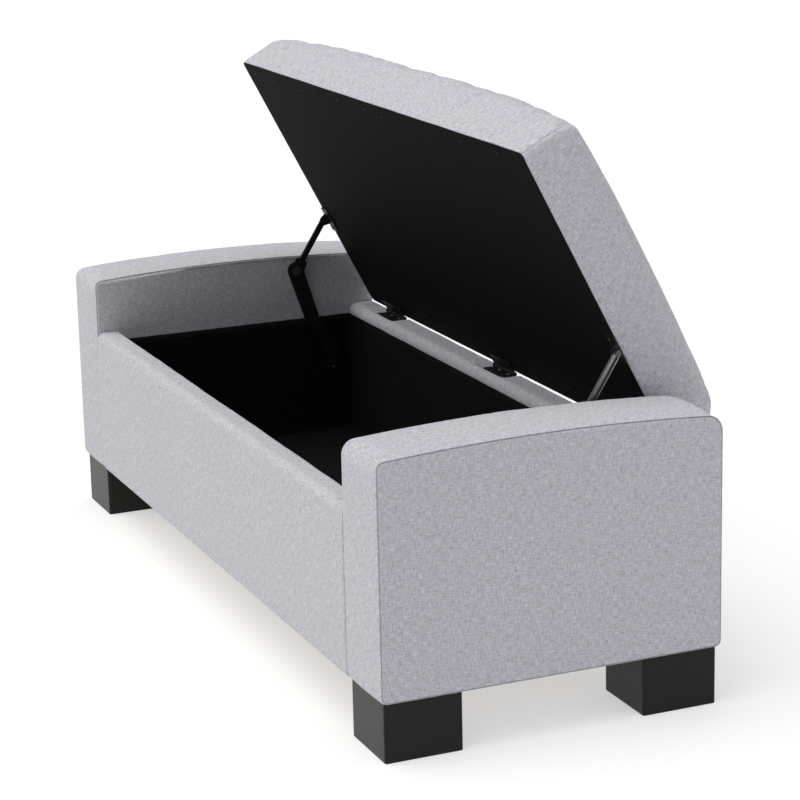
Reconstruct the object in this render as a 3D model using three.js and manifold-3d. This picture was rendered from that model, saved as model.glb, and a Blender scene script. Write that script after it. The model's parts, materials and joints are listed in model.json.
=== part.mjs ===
// Storage bench: two upholstered block arms, an upholstered box between them, and a
// padded lid on three butt hinges, held open by two folding stays. Stored with the lid open.
// Millimetres, +Z up, +X along the bench, front at -Y. "y" values below count from the middle
// of the body's depth; CENTRE_Y then centres the whole stored pose on Y = 0.
import * as THREE from 'three';
import { mergeVertices } from 'three/addons/utils/BufferGeometryUtils.js';
import Module from 'manifold-3d';

// ---- Overall ----
const LENGTH = 1300;
const DEPTH = 486.3;
const CENTRE_Y = -39.66;
const GAP = 0.3;

// ---- Legs ----
const LEG_HEIGHT = 81.2;
const LEG_SIDE = 108.4;
const LEG_INSET = 5.5;
const LEG_CORNER = 4;
const LEG_CHAMFER = 1.5;
const LEG_BORE_DEPTH = 46;

// ---- Arms ----
const ARM_WIDTH = 115.7;
const ARM_END_HEIGHT = 397.5;
const ARM_ARCH = 10;
const ARM_CORNER = 15;
const ARM_EDGE = 3;
const ARM_SKIN = 3;
const ARM_BOARD = 12;
const ARM_BOARD_TOP = 376;
const ARM_BASE_BOARD = 18;

// ---- Front and back panels (y and z of their sections) ----
const PANEL_TOP = 312.5;
const PANEL_SKIN = 2.5;
const LINING_TOP = 297;
const FRONT_INNER_Y = -204.2;
const FRONT_BOARD = 22;
const BACK_INNER_Y = 200.2;
const BACK_BOARD = 28;
const BACK_CREST = { y: 211, z: 314 };
const HINGE_SEAT = { y: 218.5, z: 307.7 };
const BOTTOM_BOARD = 12;
const LINING = 1;

// ---- Lid, in its own closed frame: y and z from the hinge pin, rotated by LID_OPEN ----
const PIVOT = { y: 238, z: 313 };
const LID_OPEN = 62.5;
const LID_HALF_LENGTH = 522;
const LID_REAR_Y = -3.4;
const LID_FRONT_Y = -474;
const LID_UNDERSIDE = 2;
const LID_ROLL = 30;
const LID_CORNER = 12;
const LID_SIDE_HEIGHT = 97;
const LID_FRONT_HEIGHT = 107;
const LID_TOP = 112;
const LID_SKIN = 3;
const LID_BOARD = 15;

// ---- Hinges ----
const HINGE_X = [-420, 0, 420];
const HINGE_NAMES = ['left', 'middle', 'right'];
const HINGE_LENGTH = 73;
const HINGE_LEAF_WIDTH = 20;
const HINGE_LEAF = 1.6;
const HINGE_BARREL_R = 3.6;
const HINGE_PIN_R = 1.52;
const HINGE_BORE_R = 1.62;
const KNUCKLES = 5;

// ---- Folding stays; pivots are the pins' axes, x layers count inwards from the arm ----
const STAY_BASE = { y: 168.4, z: 232.8 };
const STAY_KNEE = { y: 102.8, z: 381.7 };
const STAY_ELBOW = { y: 131, z: 294 };
const STAY_LID = { y: -171, z: -5.8 };
const STAY_PIN_R = 3;
const STAY_BORE_R = 3.08;
const KNEE_CLEARANCE = 2.6;
const UPPER_ARM_HALF = 4.6;
const UPPER_ARM_WALL = 1.3;
const BRACKET_LUG = { topHalf: 10, half: 6.5, corner: 5 };
const BRACKET_FLANGE = { half: 22, innerX: 498, thickness: 1.8 };
const STAY_X = {
  base: [530.9, 532.7],
  lower: [528.1, 530.6],
  upper: [522.8, 527.8],
  bracket: [520.6, 522.4],
};

// ---- Solids ----
const wasm = await Module();
wasm.setup();

function toSolid(geometry) {
  const bare = geometry.clone();
  bare.deleteAttribute('normal');
  bare.deleteAttribute('uv');
  const merged = mergeVertices(bare, 1e-4);
  return new wasm.Manifold(new wasm.Mesh({
    numProp: 3,
    vertProperties: new Float32Array(merged.attributes.position.array),
    triVerts: new Uint32Array(merged.index.array),
  }));
}

function toGeometry(solid) {
  const mesh = solid.getMesh();
  const geometry = new THREE.BufferGeometry();
  geometry.setAttribute('position', new THREE.BufferAttribute(mesh.vertProperties, 3));
  geometry.setIndex(new THREE.BufferAttribute(mesh.triVerts, 1));
  return geometry;
}

function box([x0, x1], [y0, y1], [z0, z1]) {
  const geometry = new THREE.BoxGeometry(x1 - x0, y1 - y0, z1 - z0);
  return toSolid(geometry.translate((x0 + x1) / 2, (y0 + y1) / 2, (z0 + z1) / 2));
}

// A closed outline from corners [u, v, radius]; each corner is rounded by its own radius.
function outline(corners) {
  const shape = new THREE.Shape();
  corners.forEach(([u, v, radius = 0], i) => {
    const here = new THREE.Vector2(u, v);
    const before = corners[(i + corners.length - 1) % corners.length];
    const after = corners[(i + 1) % corners.length];
    const towards = (corner) => new THREE.Vector2(corner[0], corner[1]).sub(here).setLength(radius);
    const start = here.clone().add(towards(before));
    const end = here.clone().add(towards(after));
    if (i === 0) {
      shape.moveTo(start.x, start.y);
    } else {
      shape.lineTo(start.x, start.y);
    }
    if (radius > 0) {
      shape.quadraticCurveTo(u, v, end.x, end.y);
    }
  });
  shape.closePath();
  return shape;
}

function extrude(shape, depth, { bevel = 0, curveSegments = 5 } = {}) {
  return new THREE.ExtrudeGeometry(shape, {
    depth: depth - 2 * bevel,
    steps: 1,
    curveSegments,
    bevelEnabled: bevel > 0,
    bevelThickness: bevel,
    bevelSize: bevel,
    bevelOffset: -bevel,
    bevelSegments: 2,
  }).translate(0, 0, bevel);
}

const TO_X = new THREE.Matrix4().makeBasis(
  new THREE.Vector3(0, 1, 0),
  new THREE.Vector3(0, 0, 1),
  new THREE.Vector3(1, 0, 0),
);
const TO_Y = new THREE.Matrix4().makeBasis(
  new THREE.Vector3(1, 0, 0),
  new THREE.Vector3(0, 0, 1),
  new THREE.Vector3(0, -1, 0),
);

// An outline in (y, z) swept along X.
function alongX(shape, [x0, x1], options) {
  return toSolid(extrude(shape, x1 - x0, options).applyMatrix4(TO_X).translate(x0, 0, 0));
}

// An outline in (x, z) swept along Y.
function alongY(shape, [y0, y1], options) {
  return toSolid(extrude(shape, y1 - y0, options).applyMatrix4(TO_Y).translate(0, y1, 0));
}

// An outline in (x, y) swept along Z.
function alongZ(shape, [z0, z1], options) {
  return toSolid(extrude(shape, z1 - z0, options).translate(0, 0, z0));
}

// A round bar along X.
function bar([x0, x1], y, z, radius, sides = 20) {
  const geometry = new THREE.CylinderGeometry(radius, radius, x1 - x0, sides);
  return toSolid(geometry.rotateZ(-Math.PI / 2).translate((x0 + x1) / 2, y, z));
}

// A round bar along Z.
function post(x, y, [z0, z1], radius, sides = 20) {
  const geometry = new THREE.CylinderGeometry(radius, radius, z1 - z0, sides);
  return toSolid(geometry.rotateX(Math.PI / 2).translate(x, y, (z0 + z1) / 2));
}

// ---- Nodes ----
const bench = new THREE.Group();
bench.name = 'storage_bench';

const FABRIC = { color: 0xc9c7cc, roughness: 0.95 };
const LINING_CLOTH = { color: 0x141416, roughness: 0.9 };
const FOAM = { color: 0xe6dfc4, roughness: 1 };
const BOARD = { color: 0xb89468, roughness: 0.8 };
const LEG_WOOD = { color: 0x26231f, roughness: 0.45 };
const BLACK_STEEL = { color: 0x17181a, roughness: 0.4, metalness: 0.8 };
const BRIGHT_STEEL = { color: 0xa8a9a6, roughness: 0.3, metalness: 1 };

function addGeometry(name, geometry, finish) {
  const mesh = new THREE.Mesh(geometry, new THREE.MeshStandardMaterial(finish));
  mesh.name = name;
  bench.add(mesh);
}

function add(name, solid, finish) {
  addGeometry(name, toGeometry(solid).translate(0, CENTRE_Y, 0), finish);
}

// Adds a solid drawn in the lid's closed frame, turned to the stored open pose.
function addOnLid(name, solid, finish) {
  const geometry = toGeometry(solid).rotateX(-THREE.MathUtils.degToRad(LID_OPEN));
  addGeometry(name, geometry.translate(0, PIVOT.y + CENTRE_Y, PIVOT.z), finish);
}

// Spans on +X are mirrored for the left side.
const SIDES = [['left', -1], ['right', 1]];
const onSide = (sign, [x0, x1]) => (sign > 0 ? [x0, x1] : [-x1, -x0]);

// ---- Arms ----
const ARM_OUTER_X = LENGTH / 2;
const ARM_INNER_X = LENGTH / 2 - ARM_WIDTH;
const HALF_DEPTH = DEPTH / 2;
const BOARD_BOTTOM = LEG_HEIGHT + 0.8;

// The arm's side view, moved inwards by inset; the top is a shallow arch.
function armOutline(inset, bottom) {
  const half = HALF_DEPTH - inset;
  const end = ARM_END_HEIGHT - inset;
  const steps = [0.8, 0.6, 0.4, 0.2, 0, -0.2, -0.4, -0.6, -0.8];
  const arch = steps.map((s) => [s * half, end + ARM_ARCH * (1 - s * s)]);
  const radius = ARM_CORNER - inset;
  return outline([[-half, bottom], [half, bottom], [half, end, radius], ...arch, [-half, end, radius]]);
}

function addArm(side, sign) {
  const span = (from, to) => onSide(sign, [from, to]);
  const skinX = span(ARM_INNER_X + ARM_SKIN, ARM_OUTER_X - ARM_SKIN);
  const outer = alongX(armOutline(0, LEG_HEIGHT), span(ARM_INNER_X, ARM_OUTER_X), { bevel: ARM_EDGE });
  const inside = alongX(armOutline(ARM_SKIN, LEG_HEIGHT - 10), skinX);
  const floor = box([-LENGTH, LENGTH], [-DEPTH, DEPTH], [LEG_HEIGHT, LENGTH]);
  add(`arm_cover_${side}`, outer.intersect(floor).subtract(inside), FABRIC);

  const padX = span(ARM_INNER_X + ARM_SKIN + GAP, ARM_OUTER_X - ARM_SKIN - GAP);
  const padShape = armOutline(ARM_SKIN + GAP, LEG_HEIGHT);
  const aboveBoards = box([-LENGTH, LENGTH], [-DEPTH, DEPTH], [ARM_BOARD_TOP + GAP, LENGTH]);
  add(`arm_pad_${side}`, alongX(padShape, padX).intersect(aboveBoards), FOAM);

  const halfBoard = HALF_DEPTH - ARM_SKIN - GAP;
  const outerFace = ARM_OUTER_X - ARM_SKIN - GAP;
  const innerFace = ARM_INNER_X + ARM_SKIN + GAP;
  const boardZ = [BOARD_BOTTOM, ARM_BOARD_TOP];
  const depthY = [-halfBoard, halfBoard];
  add(`arm_board_outer_${side}`, box(span(outerFace - ARM_BOARD, outerFace), depthY, boardZ), BOARD);
  add(`arm_board_inner_${side}`, box(span(innerFace, innerFace + ARM_BOARD), depthY, boardZ), BOARD);

  const between = span(innerFace + ARM_BOARD + GAP, outerFace - ARM_BOARD - GAP);
  const topZ = [ARM_BOARD_TOP - ARM_BOARD, ARM_BOARD_TOP];
  const baseZ = [BOARD_BOTTOM, BOARD_BOTTOM + ARM_BASE_BOARD];
  const postZ = [baseZ[1] + GAP, topZ[0] - GAP];
  add(`arm_board_top_${side}`, box(between, depthY, topZ), BOARD);
  add(`arm_board_front_${side}`, box(between, [-halfBoard, ARM_BOARD - halfBoard], postZ), BOARD);
  add(`arm_board_back_${side}`, box(between, [halfBoard - ARM_BOARD, halfBoard], postZ), BOARD);

  const legX = sign * (ARM_OUTER_X - LEG_INSET - LEG_SIDE / 2);
  const legY = HALF_DEPTH - LEG_INSET - LEG_SIDE / 2;
  const holes = [-legY, legY].map((y) => post(legX, y, [0, 200], 4.3));
  const base = box(between, depthY, baseZ).subtract(holes[0]).subtract(holes[1]);
  add(`arm_board_base_${side}`, base, BOARD);
  addLeg(`front_${side}`, legX, -legY, baseZ[1]);
  addLeg(`back_${side}`, legX, legY, baseZ[1]);
}

function addLeg(place, x, y, boltTop) {
  const half = LEG_SIDE / 2;
  const square = outline([
    [x - half, y - half, LEG_CORNER],
    [x + half, y - half, LEG_CORNER],
    [x + half, y + half, LEG_CORNER],
    [x - half, y + half, LEG_CORNER],
  ]);
  const top = LEG_HEIGHT - GAP;
  const block = alongZ(square, [0, top], { bevel: LEG_CHAMFER, curveSegments: 4 });
  const bore = post(x, y, [top - LEG_BORE_DEPTH, top + 1], 4.3);
  add(`leg_${place}`, block.subtract(bore), LEG_WOOD);

  const shank = post(x, y, [top - LEG_BORE_DEPTH + 4, boltTop + 1], 4);
  const head = post(x, y, [boltTop + GAP, boltTop + 4], 9, 6);
  add(`leg_bolt_${place}`, shank.add(head), BRIGHT_STEEL);
}

// ---- Box between the arms ----
function addBox() {
  const between = [GAP - ARM_INNER_X, ARM_INNER_X - GAP];
  const lipBottom = LINING_TOP + GAP;

  const front = -HALF_DEPTH;
  const frontSkin = outline([
    [front, LEG_HEIGHT],
    [front, PANEL_TOP, 12],
    [FRONT_INNER_Y, PANEL_TOP - 2, 10],
    [FRONT_INNER_Y, lipBottom],
    [FRONT_INNER_Y - PANEL_SKIN, lipBottom],
    [FRONT_INNER_Y - PANEL_SKIN, PANEL_TOP - 2 - PANEL_SKIN, 7.5],
    [front + PANEL_SKIN, PANEL_TOP - PANEL_SKIN, 9.5],
    [front + PANEL_SKIN, LEG_HEIGHT],
  ]);
  add('front_panel_cover', alongX(frontSkin, between), FABRIC);

  const frontBoardIn = FRONT_INNER_Y - PANEL_SKIN - GAP;
  const frontBoardOut = frontBoardIn - FRONT_BOARD;
  const boardTop = 298;
  const frontPad = outline([
    [front + PANEL_SKIN + GAP, BOARD_BOTTOM + 2],
    [front + PANEL_SKIN + GAP, PANEL_TOP - PANEL_SKIN - GAP, 10],
    [frontBoardIn, PANEL_TOP - 2 - PANEL_SKIN - GAP, 8],
    [frontBoardIn, boardTop + GAP],
    [frontBoardOut - GAP, boardTop + GAP],
    [frontBoardOut - GAP, BOARD_BOTTOM + 2],
  ]);
  add('front_panel_pad', alongX(frontPad, between), FOAM);
  const frontBoard = box(between, [frontBoardOut, frontBoardIn], [BOARD_BOTTOM, boardTop]);
  add('front_panel_board', frontBoard, BOARD);

  const back = HALF_DEPTH;
  const seat = HINGE_SEAT;
  const crest = BACK_CREST;
  const backSkin = outline([
    [back, LEG_HEIGHT],
    [back, seat.z, 4],
    [seat.y, seat.z, 2],
    [crest.y, crest.z, 4],
    [BACK_INNER_Y, crest.z - 3, 6],
    [BACK_INNER_Y, lipBottom],
    [BACK_INNER_Y + PANEL_SKIN, lipBottom],
    [BACK_INNER_Y + PANEL_SKIN, crest.z - 3 - PANEL_SKIN, 4],
    [crest.y - 0.6, crest.z - PANEL_SKIN, 2],
    [seat.y - 1.2, seat.z - PANEL_SKIN, 2],
    [back - PANEL_SKIN, seat.z - PANEL_SKIN, 2],
    [back - PANEL_SKIN, LEG_HEIGHT],
  ]);
  add('back_panel_cover', alongX(backSkin, between), FABRIC);

  const backBoardIn = BACK_INNER_Y + PANEL_SKIN + GAP;
  const backBoardOut = backBoardIn + BACK_BOARD;
  const backPad = outline([
    [back - PANEL_SKIN - GAP, BOARD_BOTTOM + 2],
    [back - PANEL_SKIN - GAP, seat.z - PANEL_SKIN - GAP, 2.5],
    [seat.y - 1.6, seat.z - PANEL_SKIN - GAP, 2],
    [crest.y - 0.6, crest.z - PANEL_SKIN - GAP, 2],
    [backBoardIn, crest.z - 3.4 - PANEL_SKIN - GAP, 4],
    [backBoardIn, boardTop + GAP],
    [backBoardOut + GAP, boardTop + GAP],
    [backBoardOut + GAP, BOARD_BOTTOM + 2],
  ]);
  add('back_panel_pad', alongX(backPad, between), FOAM);
  const backBoard = box(between, [backBoardIn, backBoardOut], [BOARD_BOTTOM, boardTop]);
  add('back_panel_board', backBoard, BOARD);

  const insideY = [frontBoardIn + GAP, backBoardIn - GAP];
  const floorTop = BOARD_BOTTOM + BOTTOM_BOARD;
  add('bottom_board', box(between, insideY, [BOARD_BOTTOM, floorTop]), BOARD);

  const shell = box(between, insideY, [floorTop + GAP, LINING_TOP]);
  const hollow = box(
    [between[0] + LINING, between[1] - LINING],
    [insideY[0] + LINING, insideY[1] - LINING],
    [floorTop + GAP + LINING, LINING_TOP + 10],
  );
  add('box_lining', shell.subtract(hollow), LINING_CLOTH);
}

// ---- Lid ----

// A span with rolled upper corners and a shallow crown between them.
function lidOutline(low, high, edgeHeight, inset, bottom) {
  const middle = (low + high) / 2;
  const half = (high - low) / 2 - inset;
  const edge = edgeHeight - inset;
  const rise = LID_TOP - edgeHeight;
  const steps = [0.85, 0.6, 0.3, 0, -0.3, -0.6, -0.85];
  const crown = steps.map((s) => [middle + s * half, edge + rise * (1 - s * s)]);
  const radius = LID_ROLL - inset;
  return outline([
    [middle - half, bottom],
    [middle + half, bottom],
    [middle + half, edge, radius],
    ...crown,
    [middle - half, edge, radius],
  ]);
}

// The cushion shape: two crowned spans crossing, with the plan's corners rounded.
function lidBody(inset, bottom) {
  const half = LID_HALF_LENGTH - inset;
  const front = LID_FRONT_Y + inset;
  const rear = LID_REAR_Y - inset;
  const corner = LID_CORNER - inset;
  const plan = outline([
    [-half, front, corner],
    [half, front, corner],
    [half, rear, corner],
    [-half, rear, corner],
  ]);
  const across = lidOutline(LID_FRONT_Y, LID_REAR_Y, LID_FRONT_HEIGHT, inset, bottom);
  const lengthways = lidOutline(-LID_HALF_LENGTH, LID_HALF_LENGTH, LID_SIDE_HEIGHT, inset, bottom);
  return alongZ(plan, [bottom, LID_TOP + 10])
    .intersect(alongX(across, [-LENGTH, LENGTH]))
    .intersect(alongY(lengthways, [-LENGTH, LENGTH]));
}

function addLid() {
  const inner = LID_SKIN + GAP;
  const flatX = [inner - LID_HALF_LENGTH, LID_HALF_LENGTH - inner];
  const flatY = [LID_FRONT_Y + inner, LID_REAR_Y - inner];
  const boardBottom = LID_UNDERSIDE + LINING + GAP;
  const boardTop = boardBottom + LID_BOARD;
  const plan = outline([
    [flatX[0], flatY[0], 9],
    [flatX[1], flatY[0], 9],
    [flatX[1], flatY[1], 9],
    [flatX[0], flatY[1], 9],
  ]);
  const skin = lidBody(0, LID_UNDERSIDE).subtract(lidBody(LID_SKIN, LID_UNDERSIDE - 10));
  addOnLid('lid_cover', skin, FABRIC);
  addOnLid('lid_foam', lidBody(inner, boardTop + GAP), FOAM);
  addOnLid('lid_board', alongZ(plan, [boardBottom, boardTop]), BOARD);
  addOnLid('lid_lining', alongZ(plan, [LID_UNDERSIDE, LID_UNDERSIDE + LINING]), LINING_CLOTH);
}

// ---- Hinges ----

// Every second knuckle of a hinge around (y, z), starting with the given one.
function knuckles(x, y, z, first) {
  const pitch = HINGE_LENGTH / KNUCKLES;
  const start = x - HINGE_LENGTH / 2;
  const rings = [];
  for (let i = first; i < KNUCKLES; i += 2) {
    const span = [start + i * pitch + GAP / 2, start + (i + 1) * pitch - GAP / 2];
    rings.push(bar(span, y, z, HINGE_BARREL_R, 16));
  }
  return rings;
}

// A leaf cut away wherever the other leaf's knuckles turn.
function hingeLeaf(x, pin, leaf, first) {
  const pitch = HINGE_LENGTH / KNUCKLES;
  const start = x - HINGE_LENGTH / 2;
  let solid = box([start, start + HINGE_LENGTH], leaf.y, leaf.z);
  for (let i = 1 - first; i < KNUCKLES; i += 2) {
    const span = [start + i * pitch - GAP, start + (i + 1) * pitch + GAP];
    solid = solid.subtract(box(span, [pin.y - HINGE_BARREL_R - 0.8, pin.y + 9], [pin.z - 9, pin.z + 9]));
  }
  for (const ring of knuckles(x, pin.y, pin.z, first)) {
    solid = solid.add(ring);
  }
  const bore = bar([start - 1, start + HINGE_LENGTH + 1], pin.y, pin.z, HINGE_BORE_R, 16);
  return solid.subtract(bore);
}

function addHinge(place, x) {
  const seatZ = HINGE_SEAT.z + GAP + 0.1;
  const railLeaf = {
    y: [PIVOT.y - HINGE_LEAF_WIDTH + 1, PIVOT.y],
    z: [seatZ, seatZ + HINGE_LEAF + 0.2],
  };
  add(`hinge_rail_leaf_${place}`, hingeLeaf(x, PIVOT, railLeaf, 0), BLACK_STEEL);

  const lidLeaf = {
    y: [-HINGE_LEAF_WIDTH, -2.4],
    z: [LID_UNDERSIDE - GAP - HINGE_LEAF, LID_UNDERSIDE - GAP],
  };
  addOnLid(`hinge_lid_leaf_${place}`, hingeLeaf(x, { y: 0, z: 0 }, lidLeaf, 1), BLACK_STEEL);

  const half = HINGE_LENGTH / 2;
  add(`hinge_pin_${place}`, bar([x - half, x + half], PIVOT.y, PIVOT.z, HINGE_PIN_R, 16), BLACK_STEEL);
}

// ---- Folding stays ----

// A flat arm between two round ends, drawn in (y, z).
function link(xSpan, from, to, radiusFrom, radiusTo) {
  const direction = Math.atan2(to.z - from.z, to.y - from.y);
  const length = Math.hypot(to.y - from.y, to.z - from.z);
  const lean = Math.acos((radiusFrom - radiusTo) / length);
  const shape = new THREE.Shape();
  shape.absarc(from.y, from.z, radiusFrom, direction + lean, direction + 2 * Math.PI - lean);
  shape.absarc(to.y, to.z, radiusTo, direction - lean, direction + lean);
  shape.closePath();
  return alongX(shape, xSpan, { curveSegments: 12 });
}

// Where a point of the closed lid stands in the stored open pose.
function lidPoint({ y, z }) {
  const turned = new THREE.Vector2(y, z).rotateAround(
    new THREE.Vector2(),
    -THREE.MathUtils.degToRad(LID_OPEN),
  );
  return { y: PIVOT.y + turned.x, z: PIVOT.z + turned.y };
}

// A rivet through the span, with a head at each end.
function rivet(sign, [x0, x1], { y, z }, headRadius) {
  const shank = bar(onSide(sign, [x0 - 1, x1 + 1]), y, z, STAY_PIN_R);
  const innerHead = bar(onSide(sign, [x0 - GAP - 1.5, x0 - GAP]), y, z, headRadius);
  const outerHead = bar(onSide(sign, [x1 + GAP, x1 + GAP + 1.2]), y, z, headRadius);
  return shank.add(innerHead).add(outerHead);
}

function addStay(side, sign, armFinish) {
  const layer = (name) => onSide(sign, STAY_X[name]);
  const through = onSide(sign, [500, 540]);
  const lidPin = lidPoint(STAY_LID);

  const plate = outline([
    [STAY_BASE.y - 14, STAY_BASE.z - 34, 8],
    [STAY_BASE.y + 14, STAY_BASE.z - 34, 8],
    [STAY_BASE.y + 14, STAY_BASE.z + 22, 8],
    [STAY_BASE.y - 14, STAY_BASE.z + 22, 8],
  ]);
  const plateBore = bar(through, STAY_BASE.y, STAY_BASE.z, STAY_BORE_R);
  const basePlate = alongX(plate, layer('base')).subtract(plateBore);
  add(`stay_base_plate_${side}`, basePlate, BLACK_STEEL);

  // The lower arm has a slight bend, convex to the front.
  const lower = link(layer('lower'), STAY_BASE, STAY_ELBOW, 11, 12)
    .add(link(layer('lower'), STAY_ELBOW, STAY_KNEE, 12, 13.5))
    .subtract(bar(through, STAY_BASE.y, STAY_BASE.z, STAY_BORE_R))
    .subtract(bar(through, STAY_KNEE.y, STAY_KNEE.z, STAY_BORE_R));
  add(`stay_lower_arm_${side}`, lower, armFinish);

  add(`stay_upper_arm_${side}`, upperArm(sign, lidPin, through), armFinish);

  const bracket = outline([
    [STAY_LID.y - BRACKET_LUG.topHalf, LID_UNDERSIDE - GAP],
    [STAY_LID.y - BRACKET_LUG.half, STAY_LID.z - BRACKET_LUG.half, BRACKET_LUG.corner],
    [STAY_LID.y + BRACKET_LUG.half, STAY_LID.z - BRACKET_LUG.half, BRACKET_LUG.corner],
    [STAY_LID.y + BRACKET_LUG.topHalf, LID_UNDERSIDE - GAP],
  ]);
  const flange = box(
    onSide(sign, [BRACKET_FLANGE.innerX, STAY_X.bracket[1]]),
    [STAY_LID.y - BRACKET_FLANGE.half, STAY_LID.y + BRACKET_FLANGE.half],
    [LID_UNDERSIDE - GAP - BRACKET_FLANGE.thickness, LID_UNDERSIDE - GAP],
  );
  const bracketBore = bar(through, STAY_LID.y, STAY_LID.z, STAY_BORE_R);
  const bracketSolid = alongX(bracket, layer('bracket')).add(flange).subtract(bracketBore);
  addOnLid(`stay_lid_bracket_${side}`, bracketSolid, BLACK_STEEL);

  const lowerToBase = [STAY_X.lower[0], STAY_X.base[1] - 1.3];
  const shankX = onSide(sign, [lowerToBase[0] - 1, STAY_X.base[1]]);
  const headX = onSide(sign, [lowerToBase[0] - GAP - 1.5, lowerToBase[0] - GAP]);
  const baseRivet = bar(shankX, STAY_BASE.y, STAY_BASE.z, STAY_PIN_R)
    .add(bar(headX, STAY_BASE.y, STAY_BASE.z, 6));
  add(`stay_base_rivet_${side}`, baseRivet, BRIGHT_STEEL);

  const knee = rivet(sign, [STAY_X.upper[0], STAY_X.lower[1]], STAY_KNEE, 7.5);
  add(`stay_knee_rivet_${side}`, knee, BRIGHT_STEEL);

  const lid = rivet(sign, [STAY_X.bracket[0], STAY_X.upper[1]], lidPin, 4.4);
  add(`stay_lid_rivet_${side}`, lid, BRIGHT_STEEL);
}

// The upper arm: a pressed channel open towards the bench's arm, with flat round ends.
function upperArm(sign, lidPin, through) {
  const [inner, outer] = STAY_X.upper;
  const web = onSide(sign, [inner, inner + 1.4]);
  const full = onSide(sign, [inner, outer]);
  const hollow = onSide(sign, [inner + 1.4, outer + 1]);
  const hollowHalf = UPPER_ARM_HALF - UPPER_ARM_WALL;
  const channel = link(full, STAY_KNEE, lidPin, UPPER_ARM_HALF, UPPER_ARM_HALF)
    .subtract(link(hollow, STAY_KNEE, lidPin, hollowHalf, hollowHalf));
  const kneeEnd = link(web, STAY_KNEE, lidPin, 12, UPPER_ARM_HALF)
    .intersect(bar(full, STAY_KNEE.y, STAY_KNEE.z, 22));
  const kneeRoom = bar(hollow, STAY_KNEE.y, STAY_KNEE.z, 12.5);
  const kneeBore = bar(through, STAY_KNEE.y, STAY_KNEE.z, STAY_PIN_R + KNEE_CLEARANCE);
  const lidBore = bar(through, lidPin.y, lidPin.z, STAY_BORE_R);
  return channel.subtract(kneeRoom).add(kneeEnd).subtract(kneeBore).subtract(lidBore);
}

for (const [side, sign] of SIDES) {
  addArm(side, sign);
}
addBox();
addLid();
HINGE_X.forEach((x, i) => addHinge(HINGE_NAMES[i], x));
addStay('left', -1, BLACK_STEEL);
addStay('right', 1, BRIGHT_STEEL);

export default bench;
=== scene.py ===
"""Upholstered storage bench: fabric covers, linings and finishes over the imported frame."""
import json
import math

import bmesh
import bpy
import numpy as np
from mathutils import Matrix, Vector, noise


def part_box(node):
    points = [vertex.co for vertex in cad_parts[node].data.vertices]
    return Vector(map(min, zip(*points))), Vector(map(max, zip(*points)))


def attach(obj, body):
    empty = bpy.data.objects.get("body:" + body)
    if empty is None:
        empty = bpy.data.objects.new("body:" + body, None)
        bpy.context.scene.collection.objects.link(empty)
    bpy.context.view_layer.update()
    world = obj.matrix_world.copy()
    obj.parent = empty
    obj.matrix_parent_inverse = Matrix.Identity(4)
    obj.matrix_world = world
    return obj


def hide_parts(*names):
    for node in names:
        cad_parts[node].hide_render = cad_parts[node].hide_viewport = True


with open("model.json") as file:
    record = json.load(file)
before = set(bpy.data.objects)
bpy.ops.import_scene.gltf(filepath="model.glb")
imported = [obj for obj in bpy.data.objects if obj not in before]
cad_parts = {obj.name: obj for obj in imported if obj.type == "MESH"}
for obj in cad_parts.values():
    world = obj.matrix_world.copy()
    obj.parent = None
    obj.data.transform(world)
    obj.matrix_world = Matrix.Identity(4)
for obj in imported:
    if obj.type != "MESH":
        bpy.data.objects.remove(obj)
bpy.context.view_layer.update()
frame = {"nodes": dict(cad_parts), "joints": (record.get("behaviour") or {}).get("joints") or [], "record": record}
NODES = frame["nodes"]
MM = 0.001

# ---- Sizes that the frame's boxes don't give ----
ARM_ARCH = 10 * MM
ARM_SEAM_IN = 1.5 * MM
SEAM_CUT_INNER = 2.2 * MM
SEAM_CUT_OUTER = 2.5 * MM
BAND_CORNER = 32 * MM
LINING_TOP = 297 * MM
FRONT_TOP_DROP = 2 * MM
TUFT_PITCH = 174 * MM
TUFT_ROWS = ((-0.26, 6), (0.0, 5), (0.26, 6))
LID_ROLL = 30 * MM
LID_CORNER = 12 * MM
LID_END_HEIGHT = 97 * MM
LID_END_DROP = 9 * MM
LID_FRONT_OUT = 4 * MM
LID_MID_HEIGHT = 105 * MM
LID_TOP = 111 * MM
FOAM_INSET = 7 * MM
LINING_HEM = 1 * MM
LINING_THICK = 0.6 * MM
SEAM_ROUND = {"tight": 9 * MM, "loose": 15 * MM, "looser": 18 * MM}
ARM_BACK_SOFT = 13 * MM
ARM_FOOT = 8 * MM
THREAD = 1.1 * MM
CLOTH_FRAMES = 16
FLOOR_SIZE = 60

# ---- Camera ----
AZIMUTH = 67.2
ELEVATION = 14.85
ROLL = -1.32
DISTANCE = 4.05424
AIM = Vector((-0.15192, 0.08886, 0.24245))
LENS = 116.91

LID_JOINT = next(j for j in frame["joints"] if j["name"] == "lid_hinge")
LID_PIVOT = Vector(LID_JOINT["pos_m"])
LID_OPEN = math.radians(LID_JOINT["range_deg"][1])


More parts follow.
